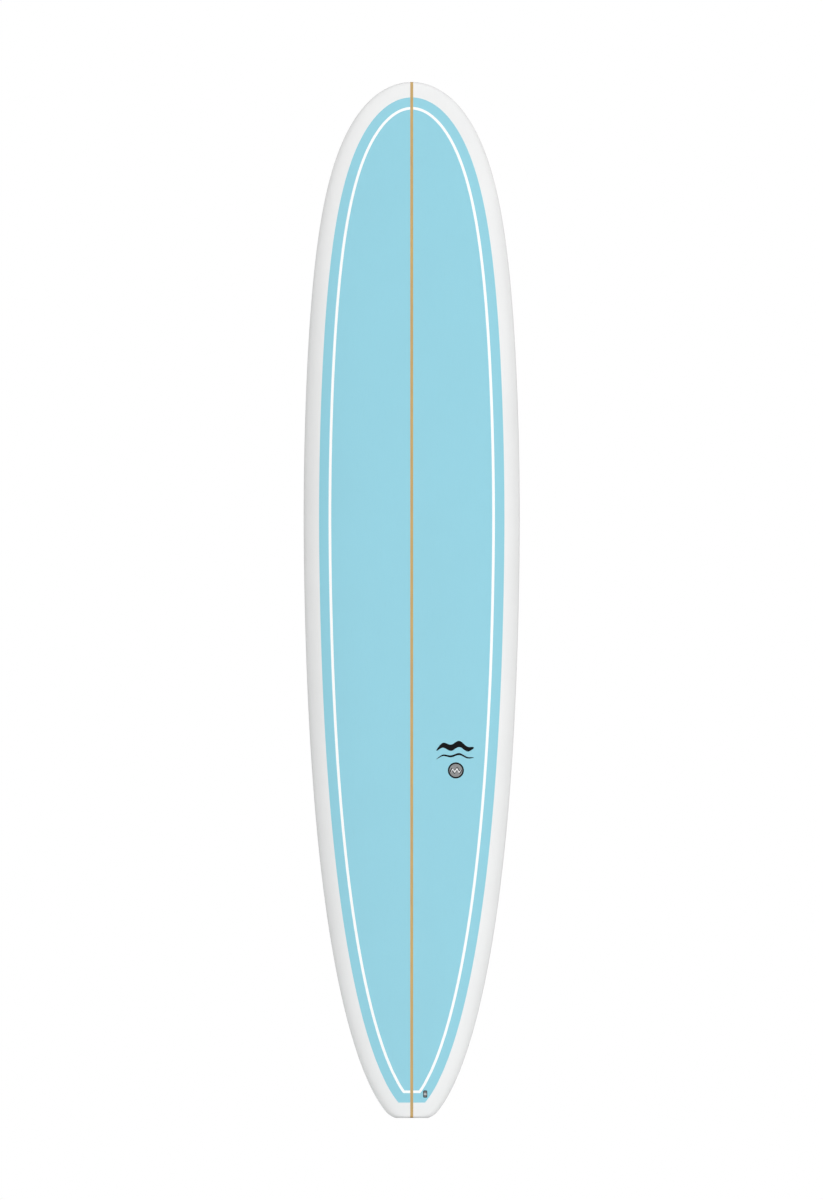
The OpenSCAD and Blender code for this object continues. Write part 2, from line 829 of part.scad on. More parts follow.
module side_box() {
  color("lightgray") at_side_box() difference() {
    sunk(side_box_d) rounded(side_box_w, side_box_l, box_corner);
    translate([0, 0, side_slot_z]) sunk(side_slot_d + open_above, open_above) bar(side_slot_w, side_slot_l);
    for (z = [rear_grub, front_grub]) {
      grub_rod(grub_r + grub_gap, -3, grub_end + 0.2, z);
      grub_rod(dog_r + 0.3, grub_end, dog_end + 2, z);
    }
  }
}

module side_fin() {
  color("dimgray") at_side_box() translate([0, 0, side_slot_z + fin_gap]) {
    blade(side_fin_l, side_fin_d, side_tab_w - 0.1, side_rake, side_hollow, cant);
    sunk(side_tab_d) bar(side_tab_w, side_fin_l);
  }
}

module grub_screw(z) {
  socket_r = 1.44;
  socket_d = 2.2;
  color("silver") at_side_box() difference() {
    union() {
      grub_rod(grub_r, grub_top, grub_end, z);
      grub_rod(dog_r, grub_end - 0.5, dog_end, z);
    }
    grub_rod(socket_r, grub_top - 1, grub_top + socket_d, z, 6);
  }
}

module side_fin_box_right() { side_box(); }
module side_fin_box_left() { mirror([1, 0, 0]) side_box(); }
module side_fin_right() { side_fin(); }
module side_fin_left() { mirror([1, 0, 0]) side_fin(); }
module front_screw_right() { grub_screw(front_grub); }
module rear_screw_right() { grub_screw(rear_grub); }
module front_screw_left() { mirror([1, 0, 0]) grub_screw(front_grub); }
module rear_screw_left() { mirror([1, 0, 0]) grub_screw(rear_grub); }

blank_left();
blank_right();
stringer();
bottom_glass();
deck_glass();
inlay_left();
inlay_right();
pinline_left();
pinline_right();
wave_decal();
emblem_decal();
tail_label();
centre_fin_box();
leash_bar();
centre_fin();
fin_pin();
fin_plate();
fin_screw();
side_fin_box_left();
side_fin_box_right();
side_fin_left();
side_fin_right();
front_screw_left();
rear_screw_left();
front_screw_right();
rear_screw_right();
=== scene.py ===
"""Longboard surfboard: glassed skins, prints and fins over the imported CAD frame.

The board stands on its tail: +Z runs to the nose, +X across, the deck faces -Y.
Shapes are worked out in millimetres, on the CAD source's own curves, and become
metres in new_piece().
"""

import json
import math

import bmesh
import bpy
import numpy as np
from mathutils import Matrix, Vector
from mathutils.geometry import tessellate_polygon
from mathutils.kdtree import KDTree

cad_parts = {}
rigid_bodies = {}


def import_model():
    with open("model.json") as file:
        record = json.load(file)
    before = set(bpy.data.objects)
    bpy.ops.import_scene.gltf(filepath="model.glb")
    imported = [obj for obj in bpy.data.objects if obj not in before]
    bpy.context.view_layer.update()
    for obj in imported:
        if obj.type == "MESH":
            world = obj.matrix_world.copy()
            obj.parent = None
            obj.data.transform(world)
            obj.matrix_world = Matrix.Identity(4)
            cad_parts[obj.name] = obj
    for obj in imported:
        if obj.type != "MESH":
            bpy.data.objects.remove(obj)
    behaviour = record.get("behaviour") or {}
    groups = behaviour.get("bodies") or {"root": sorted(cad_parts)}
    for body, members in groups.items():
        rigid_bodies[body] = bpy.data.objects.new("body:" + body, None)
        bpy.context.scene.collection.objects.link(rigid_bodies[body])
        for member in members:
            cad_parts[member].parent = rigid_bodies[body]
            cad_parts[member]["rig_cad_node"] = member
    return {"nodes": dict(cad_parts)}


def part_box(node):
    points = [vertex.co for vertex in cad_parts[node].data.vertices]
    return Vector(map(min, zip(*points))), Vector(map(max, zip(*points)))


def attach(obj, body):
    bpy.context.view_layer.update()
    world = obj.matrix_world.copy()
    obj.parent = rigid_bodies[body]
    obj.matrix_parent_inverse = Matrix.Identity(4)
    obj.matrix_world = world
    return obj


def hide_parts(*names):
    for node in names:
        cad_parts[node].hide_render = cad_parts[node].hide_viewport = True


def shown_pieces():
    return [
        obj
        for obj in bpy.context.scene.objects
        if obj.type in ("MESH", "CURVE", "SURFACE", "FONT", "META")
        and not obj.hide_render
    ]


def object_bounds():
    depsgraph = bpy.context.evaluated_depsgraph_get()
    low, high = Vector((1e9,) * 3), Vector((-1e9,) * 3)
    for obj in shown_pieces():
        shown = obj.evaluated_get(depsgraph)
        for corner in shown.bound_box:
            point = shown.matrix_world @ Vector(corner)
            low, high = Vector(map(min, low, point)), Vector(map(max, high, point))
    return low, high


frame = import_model()
cad_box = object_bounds()

MM = 0.001

# ---- Sizes of the board, in mm, as in the CAD source ----

deck_lo, deck_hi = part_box("deck_glass")
BOARD_L = deck_hi.z / MM
HALF_W = deck_hi.x / MM
HALF_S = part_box("stringer")[1].x / MM
WIDE_Z = 1599
NOSE_L = BOARD_L - WIDE_Z
BOARD_T, THICK_Z, TAIL_T, NOSE_T, TAIL_ROUND = 76, 1430, 24, 16, 7
THICK_POWER = 2.5
NOSE_ROCKER, TAIL_ROCKER = 115, 65
STRAIGHT_Z, ROCKER_Z, ROCKER_POWER = 500, 1300, 2.6
RAIL_LOW = 0.38
NOSE_BLEND, NOSE_POWER = 0.522, 5.91
TAIL_A, TAIL_A_POWER = 0.399, 1.62
TAIL_B, TAIL_B_POWER = 0.568, 2.775
CORNER_W, CORNER_H = 9, 14
TUCK_TAIL, TUCK_MID, TUCK_Z = 22, 55, 1400
INLAY_IN, PIN_OUT, PIN_IN = 41, 66.5, 73.5
STEP_IN = INLAY_IN - 2
NOSE_ROWS, ROW_LEAN = 28, 35
# Rounds of the search for the point of the side's curve that lies square to a place.
LEVEL_STEPS = 9

TAIL_RUN = ROCKER_Z - STRAIGHT_Z
TAIL_CURVE = TAIL_ROCKER / (TAIL_RUN * (TAIL_RUN + 2 * STRAIGHT_Z))
KICK = math.atan(2 * TAIL_CURVE * TAIL_RUN)

# A skin's thickness: less than the glass's, so that it stays clear of the foam.
SKIN_T = 1.2

# ---- The board's curves ----


def side_half(z):
    """Half-width of the outline below its wide point, before the tail's corners."""
    v = np.maximum((WIDE_Z - z) / WIDE_Z, 0)
    return HALF_W * np.sqrt(1 - TAIL_A * v**TAIL_A_POWER - TAIL_B * v**TAIL_B_POWER)


def half_at(z):
    """Half-width of the outline at a height."""
    z = np.asarray(z, float)
    u = np.maximum((z - WIDE_Z) / NOSE_L, 0)
    nose = HALF_W * np.sqrt(np.maximum(0, 1 - NOSE_BLEND * u**2 - (1 - NOSE_BLEND) * u**NOSE_POWER))
    tail = side_half(z) - CORNER_W * np.maximum(0, 1 - z / CORNER_H) ** 2
    return np.where(z > WIDE_Z, nose, tail)


def rocker(z):
    """How far the bottom lifts towards the deck at a height."""
    straight = TAIL_CURVE * TAIL_RUN * (TAIL_RUN + 2 * (STRAIGHT_Z - z))
    tail = TAIL_CURVE * (ROCKER_Z - z) ** 2
    nose = NOSE_ROCKER * (np.maximum(z - ROCKER_Z, 0) / (BOARD_L - ROCKER_Z)) ** ROCKER_POWER
    return np.where(z < STRAIGHT_Z, straight, np.where(z < ROCKER_Z, tail, nose))


def end_cut(z):
    """How far the rounding of the tail's end cuts into the deck and the bottom."""
    return TAIL_ROUND - np.sqrt(TAIL_ROUND**2 - np.maximum(TAIL_ROUND - z, 0) ** 2)


def thick(z):
    """The board's thickness at a height."""
    end_t = np.where(z > THICK_Z, NOSE_T, TAIL_T)
    reach = np.where(z > THICK_Z, BOARD_L - THICK_Z, THICK_Z)
    full = end_t + (BOARD_T - end_t) * (1 - (abs(z - THICK_Z) / reach) ** THICK_POWER)
    return full - 2 * end_cut(z)


def bottom_y(z):
    """The bottom's flat middle at a height."""
    return TAIL_T / 2 + TAIL_ROCKER - rocker(z) - end_cut(z)


def apex_y(z):
    """The rail's widest line at a height, where deck and bottom meet."""
    return bottom_y(z) - RAIL_LOW * thick(z)


def tuck(z):
    """How far the rail's lower round reaches in from the outline at a height."""
    f = np.clip((z - STRAIGHT_Z) / (TUCK_Z - STRAIGHT_Z), 0, 1)
    return TUCK_TAIL + (TUCK_MID - TUCK_TAIL) * f * f * (3 - 2 * f)


def outward(z):
    """The outline's outward direction at a height, as x and z."""
    h = np.maximum(np.minimum(0.5, (BOARD_L - z) / 4), 1e-4)
    slope = (half_at(z + h) - half_at(z - h)) / (2 * h)
    n = np.sqrt(1 + slope**2)
    tip = z > BOARD_L - 0.01
    return np.where(tip, 0, 1 / n), np.where(tip, 1, -slope / n)


def level_x(z, away):
    """Half-width at a height of the side's curve moved inwards, as in the CAD source."""
    if z < INLAY_IN:
        return half_at(z) * level_x(INLAY_IN, away) / half_at(INLAY_IN)
    h = np.where(away > INLAY_IN, np.maximum(z, away), z)
    start = h
    for _ in range(LEVEL_STEPS):
        slope = side_half(start + 0.5) - side_half(start - 0.5)
        n = np.sqrt(1 + slope**2)
        x = side_half(start) - away / n
        start = h - away * slope / n
    return x


# ---- Rows and columns of the fine skins ----

NOSE_STEPS = np.arange(0, NOSE_ROWS, 0.5)
LEVEL_Z = np.concatenate([
    np.linspace(WIDE_Z, STRAIGHT_Z, 29),
    np.linspace(STRAIGHT_Z, 92, 13)[1:],
    [82, PIN_IN, 70, PIN_OUT, 60, 54, 47, INLAY_IN, STEP_IN, 35, 30, 26, 22, 18],
    [14, 11.5, 9, 7, 5.2, 3.8, 2.6, 1.7, 1, 0.5, 0.2, 0],
])
EDGE_COLS = 14
DECK_AWAY = np.concatenate([
    INLAY_IN * (np.arange(EDGE_COLS) / EDGE_COLS) ** 2,
    [INLAY_IN, 49, 58, PIN_OUT, PIN_IN],
])
INLAY_COL = EDGE_COLS
PIN_COL = len(DECK_AWAY) - 2
INNER_COLS = 10
TUCK_SHARE = 1 - np.cos(np.linspace(0, math.pi / 2, 13))
BOTTOM_INNER = 8
ROW_Z = np.concatenate([np.full(len(NOSE_STEPS), BOARD_L), LEVEL_Z])


def moved_in(away, depth, reach):
    """Distances from the outline for a skin's inner side, eased out over a reach."""
    return away + depth * np.maximum(0, 1 - away / reach)


def nose_point(i, away, depth):
    """Points on a row square to the outline: x, z and distance across the crown."""
    z0 = BOARD_L - NOSE_L * (i / NOSE_ROWS) ** 2
    nx, nz = outward(z0)
    x = np.maximum(half_at(z0), HALF_S) - away * nx
    z = z0 - away * nz
    w = half_at(z)
    s = np.where(w > depth, (w - away) / np.maximum(w - depth, 1e-6), 1)
    return np.maximum(x, HALF_S), z, s


def lean(i):
    """How much lower a nose row ends at the stringer than it starts."""
    return ROW_LEAN * (1 - (i / NOSE_ROWS) ** 2)


def mixed(a, b, share):
    """A value that far from a to b."""
    return a + (b - a) * share


def deck_row(row, depth):
    """One row of the deck's right half, from the rail to the stringer."""
    share = np.linspace(0, 1, INNER_COLS + 1)[1:]
    away = moved_in(DECK_AWAY, depth, STEP_IN)
    if row < len(NOSE_STEPS):
        i = NOSE_STEPS[row]
        x, z, s = nose_point(i, away, depth)
        end_z = z[-1] - lean(i)
        w = half_at(end_z)
        end_s = max(0, w - (BOARD_L - end_z)) / (w - depth)
        x = np.append(x, mixed(x[-1], HALF_S, share))
        z = np.append(z, mixed(z[-1], end_z, share))
        s = np.append(s, mixed(s[-1], end_s, share))
    else:
        level = LEVEL_Z[row - len(NOSE_STEPS)]
        x = level_x(level, DECK_AWAY) - away + DECK_AWAY
        x[0] = half_at(level) - away[0]
        x = np.append(x, mixed(x[-1], HALF_S, share))
        z = np.full(len(x), level)
        s = x / (half_at(level) - depth)
    rise = (1 - RAIL_LOW) * thick(z) - depth
    y = apex_y(z) - rise * np.sqrt(np.maximum(0, 1 - s**3))
    return np.stack([x, y, z], axis=-1)


def bottom_row(row, depth):
    """One row of the bottom's right half, from the rail to the stringer."""
    share = np.linspace(0, 1, BOTTOM_INNER + 1)[1:]
    if row < len(NOSE_STEPS):
        i = NOSE_STEPS[row]
        t = tuck(BOARD_L - NOSE_L * (i / NOSE_ROWS) ** 2)
        away = moved_in(t * TUCK_SHARE, depth, t)
        x, z, _ = nose_point(i, away, depth)
        end_z = z[-1] - lean(i)
    else:
        level = LEVEL_Z[row - len(NOSE_STEPS)]
        t = tuck(level)
        away = moved_in(t * TUCK_SHARE, depth, t)
        x, z = half_at(level) - away, np.full(len(away), level)
        end_z = level
    q = np.append((away - depth) / (t - depth), np.ones(BOTTOM_INNER))
    x = np.append(x, mixed(x[-1], HALF_S, share))
    z = np.append(z, mixed(z[-1], end_z, share))
    drop = RAIL_LOW * thick(z) - depth
    y = apex_y(z) + drop * np.sqrt(1 - (1 - np.minimum(q, 1)) ** 2)
    return np.stack([x, y, z], axis=-1)


def grid(row_at, depth):
    """All rows of the deck or of the bottom, this deep under the true surface."""
    return np.array([row_at(row, depth) for row in range(len(ROW_Z))])


def fair_normals(points, out_y):
    """Unit normals of a skin's grid, upright along the rail's apex."""
    n = np.cross(np.gradient(points, axis=0), np.gradient(points, axis=1))
    n /= np.maximum(np.linalg.norm(n, axis=-1, keepdims=True), 1e-9)
    middle = n[len(n) // 2, -2]
    n *= np.sign(middle[1] * out_y)
    nx, nz = outward(points[:, 0, 2])
    n[:, 0] = np.stack([nx, np.zeros(len(nx)), nz], axis=-1)
    return n


DECK = {depth: grid(deck_row, depth) for depth in (0, SKIN_T)}
BOTTOM = {depth: grid(bottom_row, depth) for depth in (0, SKIN_T)}
MIRROR = np.array([-1, 1, 1])


def normal_tree():
    """The true surface's normals, found by the nearest point of either grid."""
    points = [DECK[0], BOTTOM[0], DECK[0] * MIRROR, BOTTOM[0] * MIRROR]
    deck_n, low_n = fair_normals(DECK[0], -1), fair_normals(BOTTOM[0], 1)
    normals = [deck_n, low_n, deck_n * MIRROR, low_n * MIRROR]
    points = np.concatenate([p.reshape(-1, 3) for p in points])
    normals = np.concatenate([n.reshape(-1, 3) for n in normals])
    tree = KDTree(len(points))
    for k, p in enumerate(points):
        tree.insert(p * MM, k)
    tree.balance()
    return tree, normals


TREE, TRUE_NORMALS = normal_tree()

# ---- Building pieces ----


def new_piece(name, points, faces, matrix=None):
    """A mesh object from points in mm, welded, with its faces turned outwards."""
    mesh = bpy.data.meshes.new(name)
    bm = bmesh.new()
    verts = [bm.verts.new(Vector(p) * MM) for p in points]
    for face in faces:
        bm.faces.new([verts[k] for k in face])
    loose = [v for v in bm.verts if not v.link_faces]
    bmesh.ops.delete(bm, geom=loose, context="VERTS")
    bmesh.ops.remove_doubles(bm, verts=bm.verts, dist=1e-6)
    bmesh.ops.dissolve_degenerate(bm, edges=bm.edges, dist=1e-7)
    bmesh.ops.recalc_face_normals(bm, faces=bm.faces)
    bm.to_mesh(mesh)
    bm.free()
    piece = bpy.data.objects.new(name, mesh)
    bpy.context.scene.collection.objects.link(piece)
    if matrix is not None:
        mesh.transform(matrix)
    return piece


def shell(outer, inner, keep=None):
    """Points and quads of the closed shell between two like grids, over the kept cells."""
    rows, cols = outer.shape[:2]
    if keep is None:
        keep = np.ones((rows - 1, cols - 1), bool)
    half = rows * cols
    framed = np.pad(keep, 1)
    faces = []
    for i, j in zip(*np.nonzero(keep)):
        a = int(i * cols + j)
        b, d = a + 1, a + cols
        c = d + 1
        faces += [(a, b, c, d), (a + half, d + half, c + half, b + half)]
        beside = {
            (i + 1, j): (d, a),
            (i + 1, j + 2): (b, c),
            (i, j + 1): (a, b),
            (i + 2, j + 1): (c, d),
        }
        for cell, (p, q) in beside.items():
            if not framed[cell]:
                faces.append((p, q, q + half, p + half))
    return np.concatenate([outer.reshape(-1, 3), inner.reshape(-1, 3)]), faces


def joined(*parts):
    """Several lists of points and faces as one."""
    points, faces, base = [], [], 0
    for some_points, some_faces in parts:
        points.append(np.asarray(some_points, float))
        faces += [tuple(k + base for k in face) for face in some_faces]
        base += len(some_points)
    return np.concatenate(points), faces


def mirrored(part):
    return part[0] * MIRROR, part[1]


def prism(outline, low, high):
    """A flat outline of x and z, as a solid between two depths y."""
    n = len(outline)
    points = [(x, y, z) for y in (low, high) for x, z in outline]
    flat = [Vector((x, z, 0)) for x, z in outline]
    caps = tessellate_polygon([flat])
    faces = [tuple(t) for t in caps] + [tuple(k + n for k in reversed(t)) for t in caps]
    faces += [(k, (k + 1) % n, (k + 1) % n + n, k + n) for k in range(n)]
    return np.array(points, float), faces


def rounded(w, l, r, steps=12):
    """A rounded rectangle's outline, centred on x, from z = 0 to l."""
    corners = [
        (w / 2 - r, l - r, 0),
        (r - w / 2, l - r, 90),
        (r - w / 2, r, 180),
        (w / 2 - r, r, 270),
    ]
    outline = []
    for x, z, start in corners:
        for k in range(steps + 1):
            turn = math.radians(start + 90 * k / steps)
            outline.append((x + r * math.cos(turn), z + r * math.sin(turn)))
    return outline


# A face this near to the true surface's direction (as a cosine) shades as part of it.
FACING = 0.7
SHARP_ANGLE = math.radians(35)


def shade_true(piece):
    """Smooth skins by the true surface's normals, so that no seam shows between them."""
    mesh = piece.data
    mesh.polygons.foreach_set("use_smooth", [True] * len(mesh.polygons))
    near = [TRUE_NORMALS[TREE.find(v.co)[1]] for v in mesh.vertices]
    normals = []
    for face in mesh.polygons:
        flat = np.array(face.normal)
        for k in face.vertices:
            along = float(near[k] @ flat)
            normals.append(near[k] * np.sign(along) if abs(along) > FACING else flat)
    mesh.normals_split_custom_set(normals)


def shade_by_angle(piece):
    """Smooth faces, with every edge sharper than SHARP_ANGLE left crisp."""
    mesh = piece.data
    mesh.polygons.foreach_set("use_smooth", [True] * len(mesh.polygons))
    mesh.set_sharp_from_angle(angle=SHARP_ANGLE)


def shape_by(piece, others, operation):
    """Joins a piece with others or cuts it by them, and uses them up."""
    for other in others:
        step = piece.modifiers.new("shape", "BOOLEAN")
        step.operation, step.solver, step.object = operation, "EXACT", other
    made = bpy.data.meshes.new_from_object(
        piece.evaluated_get(bpy.context.evaluated_depsgraph_get())
    )
    piece.modifiers.clear()
    piece.data = made
    for other in others:
        bpy.data.objects.remove(other)


def dress(piece, material, body, slot, *replaced):
    """Gives a piece its material and its body, and hides the CAD nodes it stands for. The slot is
    not used.
    """
    piece.data.materials.clear()
    piece.data.materials.append(material)
    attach(piece, body)
    if replaced:
        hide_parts(*replaced)


# ---- Materials ----


# A wave texture's scale at which its bands lie one metre apart.
BAND_SCALE = 2 * math.pi / 20


class Look:
    """A Principled material whose textures run on the row frame's own coordinates."""

    def __init__(self, name, colour, roughness, **sockets):
        self.material = bpy.data.materials.new(name)
        self.material.use_nodes = True
        self.tree = self.material.node_tree
        self.shader = self.tree.nodes["Principled BSDF"]
        self.colour = colour
        self.shader.inputs["Base Color"].default_value = (*colour, 1)
        self.shader.inputs["Roughness"].default_value = roughness
        for key, value in sockets.items():
            self.shader.inputs[key.replace("_", " ")].default_value = value
        self.places = self.tree.nodes.new("ShaderNodeTexCoord").outputs["Object"]

    def node(self, kind, **inputs):
        made = self.tree.nodes.new(kind)
        for key, value in inputs.items():
            socket = made.inputs[key]
            if isinstance(value, bpy.types.NodeSocket):
                self.tree.links.new(value, socket)
            else:
                socket.default_value = value
        return made

    def stretched(self, x, y, z):
        return self.node("ShaderNodeMapping", Vector=self.places, Scale=(x, y, z)).outputs[0]

    def noise(self, scale, detail, places=None):
        made = self.node(
            "ShaderNodeTexNoise", Vector=places or self.places, Scale=scale, Detail=detail
        )
        return made.outputs["Fac"]

    def math(self, operation, a, b):
        made = self.tree.nodes.new("ShaderNodeMath")
        made.operation = operation
        for socket, value in zip(made.inputs, (a, b)):
            if isinstance(value, bpy.types.NodeSocket):
                self.tree.links.new(value, socket)
            else:
                socket.default_value = value
        return made.outputs[0]

    def ramp(self, fac, low, high, dark, light):
        """Colours between dark and light as fac goes from low to high."""
        made = self.node("ShaderNodeValToRGB", Fac=fac)
        for stop, place, colour in zip(made.color_ramp.elements, (low, high), (dark, light)):
            stop.position = place
            stop.color = (*colour, 1)
        return made.outputs["Color"]

    def between(self, fac, low, high, a, b):
        """A number that goes from a to b as fac goes from low to high."""
        made = self.node(
            "ShaderNodeMapRange",
            **{"Value": fac, "From Min": low, "From Max": high, "To Min": a, "To Max": b},
        )
        return made.outputs["Result"]

    def mixed(self, fac, a, b):
        made = self.tree.nodes.new("ShaderNodeMix")
        made.data_type = "RGBA"
        for key, value in (("Factor", fac), ("A", a), ("B", b)):
            socket = next(s for s in made.inputs if s.name == key and s.enabled)
            if isinstance(value, bpy.types.NodeSocket):
                self.tree.links.new(value, socket)
            else:
                socket.default_value = value if key == "Factor" else (*value, 1)
        return next(s for s in made.outputs if s.enabled)

    def weave(self, pitch):
        """A plain cloth's threads across and along the board, one pitch in metres apart."""
        bands = []
        for direction in ("X", "Z"):
            wave = self.node("ShaderNodeTexWave", Vector=self.places, Scale=BAND_SCALE / pitch)
            wave.bands_direction = direction
            wave.wave_profile = "SIN"
            bands.append(wave.outputs["Fac"])
        return self.math("MULTIPLY", bands[0], bands[1])

    def paint(self, socket, value):
        self.tree.links.new(value, self.shader.inputs[socket])

    def bump(self, height, distance, strength):
        made = self.node("ShaderNodeBump", Height=height, Distance=distance, Strength=strength)
        self.paint("Normal", made.outputs["Normal"])

    def shaded(self, factor):
        return tuple(min(1, c * factor) for c in self.colour)


GLOSS = {"Coat_Weight": 1.0, "Coat_Roughness": 0.07, "Coat_IOR": 1.5}


def laminate(name, colour, cloth=0.0014, mottle=0.018):
    """Glass cloth under polished resin: threads and slubs, clouds in the tint, sanding marks."""
    look = Look(name, colour, 0.42, **GLOSS)
    clouds = look.noise(5, 4)
    threads = look.weave(cloth)
    slubs = look.between(look.noise(420, 3, look.stretched(1, 1, 0.08)), 0.55, 0.75, 0.0, 0.25)
    tint = look.ramp(clouds, 0.3, 0.7, look.shaded(1 - mottle), look.shaded(1 + mottle))
    woven = look.math("ADD", look.math("MULTIPLY", threads, 0.22), slubs)
    look.paint("Base Color", look.mixed(woven, tint, look.shaded(0.93)))
    sanding = look.noise(240, 2, look.stretched(1, 1, 0.12))
    look.paint("Roughness", look.between(sanding, 0.3, 0.7, 0.36, 0.5))
    look.bump(look.math("ADD", threads, look.math("MULTIPLY", clouds, 4.0)), 0.00003, 0.6)
    return look.material


WARM_FIGURE, DARK_PORE = (0.4, 0.215, 0.065), (0.17, 0.085, 0.03)


def wood(name, colour):
    """A strip of light wood, its grain and pores running along the board."""
    look = Look(name, colour, 0.45, **GLOSS)
    grain = look.noise(900, 5, look.stretched(1, 1, 0.015))
    figure = look.noise(60, 3, look.stretched(1, 1, 0.05))
    pores = look.noise(2600, 2, look.stretched(1, 1, 0.03))
    base = look.ramp(grain, 0.32, 0.68, look.shaded(0.78), look.shaded(1.12))
    warm = look.mixed(look.between(figure, 0.35, 0.7, 0.0, 0.45), base, WARM_FIGURE)
    dark = look.mixed(look.between(pores, 0.62, 0.75, 0.0, 0.5), warm, DARK_PORE)
    look.paint("Base Color", dark)
    look.bump(grain, 0.00006, 0.4)
    return look.material


def foam(name, colour):
    """Closed-cell foam, planed smooth."""
    look = Look(name, colour, 0.85)
    cells = look.tree.nodes.new("ShaderNodeTexVoronoi")
    cells.inputs["Scale"].default_value = 1800
    look.tree.links.new(look.places, cells.inputs["Vector"])
    walls = cells.outputs["Distance"]
    look.paint("Base Color", look.ramp(walls, 0.0, 0.7, look.shaded(1.0), look.shaded(0.86)))
    look.bump(walls, 0.0002, 0.6)
    return look.material


def moulded(name, colour, roughness):
    """Moulded plastic: a fine grain, a little cloudiness and handling marks."""
    look = Look(name, colour, roughness)
    grain = look.noise(4200, 2)
    clouds = look.noise(35, 3)
    marks = look.noise(500, 3, look.stretched(1, 1, 0.2))
    look.paint("Base Color", look.ramp(clouds, 0.3, 0.7, look.shaded(0.94), look.shaded(1.03)))
    look.paint("Roughness", look.between(marks, 0.35, 0.7, roughness - 0.08, roughness + 0.14))
    look.bump(grain, 0.00004, 0.6)
    return look.material


def printed(name, colour):
    """Ink under the resin: slightly uneven, with the coat's gloss over it."""
    look = Look(name, colour, 0.5, Coat_Weight=0.02, Coat_Roughness=0.1, Specular_IOR_Level=0.06)
    speckle = look.noise(1500, 2)
    look.paint("Base Color", look.ramp(speckle, 0.3, 0.75, look.shaded(0.85), look.shaded(1.3)))
    look.bump(speckle, 0.00001, 0.4)
    return look.material


def metal(name, colour, roughness, stretch):
    """Turned or drawn metal: fine lines along the stretch, and dulled spots."""
    look = Look(name, colour, roughness, Metallic=1.0)
    lines = look.noise(3000, 3, look.stretched(*stretch))
    spots = look.noise(260, 4)
    look.paint("Base Color", look.ramp(spots, 0.3, 0.75, look.shaded(0.8), look.shaded(1.06)))
    look.paint("Roughness", look.between(spots, 0.3, 0.75, roughness + 0.16, roughness - 0.05))
    look.bump(lines, 0.00003, 0.5)
    return look.material


def fin_glass(name, colour):
    """Solid glass-fibre panel: the weave shows through clear, faintly tinted resin."""
    look = Look(name, colour, 0.35, **GLOSS)
    threads = look.weave(0.0022)
    clouds = look.noise(28, 4)
    tint = look.ramp(clouds, 0.3, 0.72, look.shaded(0.94), look.shaded(1.03))
    woven = look.math("MULTIPLY", threads, 0.3)
    look.paint("Base Color", look.mixed(woven, tint, look.shaded(0.86)))
    scuffs = look.noise(700, 3, look.stretched(1, 1, 0.3))
    look.paint("Roughness", look.between(scuffs, 0.5, 0.75, 0.28, 0.5))
    look.bump(threads, 0.00002, 0.5)
    return look.material


WHITE = laminate("white_laminate", (0.826, 0.824, 0.824))
BLUE = laminate("blue_inlay", (0.215, 0.575, 0.698), cloth=0.0016, mottle=0.01)
PINLINE = laminate("pinline_resin", (0.965, 0.97, 0.97), mottle=0.006)
WOOD = wood("stringer_wood", (0.545, 0.325, 0.047))
FOAM = foam("blank_foam", (0.86, 0.84, 0.78))
DARK = printed("dark_ink", (0.0035, 0.004, 0.0045))
GREY = printed("grey_ink", (0.27, 0.27, 0.27))
PALE = printed("pale_ink", (0.72, 0.72, 0.72))
PLASTIC = moulded("box_plastic", (0.5, 0.505, 0.5), 0.42)
BRASS = metal("brass", (0.76, 0.55, 0.25), 0.28, (0.05, 1, 1))
STEEL = metal("steel", (0.56, 0.565, 0.575), 0.3, (1, 0.05, 1))
FIN = fin_glass("fin_resin", (0.062, 0.072, 0.08))

# ---- The deck's skins ----

row_low = ROW_Z[1:, None]
row_high = ROW_Z[:-1, None]
col = np.arange(DECK[0].shape[1] - 1)[None, :]
is_inlay = (col >= INLAY_COL) & (row_low >= INLAY_IN)
is_pinline = ((col == PIN_COL) & (row_low >= PIN_OUT)) | (
    (col > PIN_COL) & (row_low >= PIN_OUT) & (row_high <= PIN_IN)
)


def deck_skin(keep):
    return shell(DECK[0], DECK[SKIN_T], keep)


band = deck_skin(~is_inlay)
deck_band = new_piece("deck_band", *joined(band, mirrored(band)))
dress(deck_band, WHITE, "board", "clear_glass", "deck_glass")

cloth = deck_skin(is_inlay & ~is_pinline)
line = deck_skin(is_pinline)
for side, turn in (("right", lambda part: part), ("left", mirrored)):
    dress(
        new_piece(f"inlay_cloth_{side}", *turn(cloth)),
        BLUE, "board", "inlay_cloth", f"inlay_{side}",
    )
    dress(
        new_piece(f"pinline_stripe_{side}", *turn(line)),
        PINLINE, "board", "pinline", f"pinline_{side}",
    )

# ---- Places on the bottom, over the straight stretch ----

CENTRE_BOX_Z = 98
CENTRE_BOX = (25.4, 274, 24)
SIDE_X, SIDE_Z = 149, 338
SIDE_BOX = (26, 124, 17)
BOX_CORNER = 6
TOE_IN = math.radians(3)
CUT_REACH = 5


def on_bottom(x, z, turn=0.0):
    """The CAD source's frame on the bottom, as a matrix in metres."""
    place = Matrix.Translation(Vector((x, float(bottom_y(z)), z)) * MM)
    return place @ Matrix.Rotation(-KICK, 4, "X") @ Matrix.Rotation(turn, 4, "Y")


AT_CENTRE = on_bottom(0, CENTRE_BOX_Z)
AT_SIDE = {
    "right": on_bottom(SIDE_X, SIDE_Z, -TOE_IN),
    "left": on_bottom(-SIDE_X, SIDE_Z, TOE_IN),
}


def box_cutter(size, place):
    """A solid that cuts a fin box's outline out of the bottom's skin."""
    w, l, _ = size
    return new_piece("cutter", *prism(rounded(w, l, BOX_CORNER), -CUT_REACH, CUT_REACH), place)


# ---- The bottom's skin, with the cap over the tail's end ----

low_half = shell(BOTTOM[0], BOTTOM[SKIN_T])


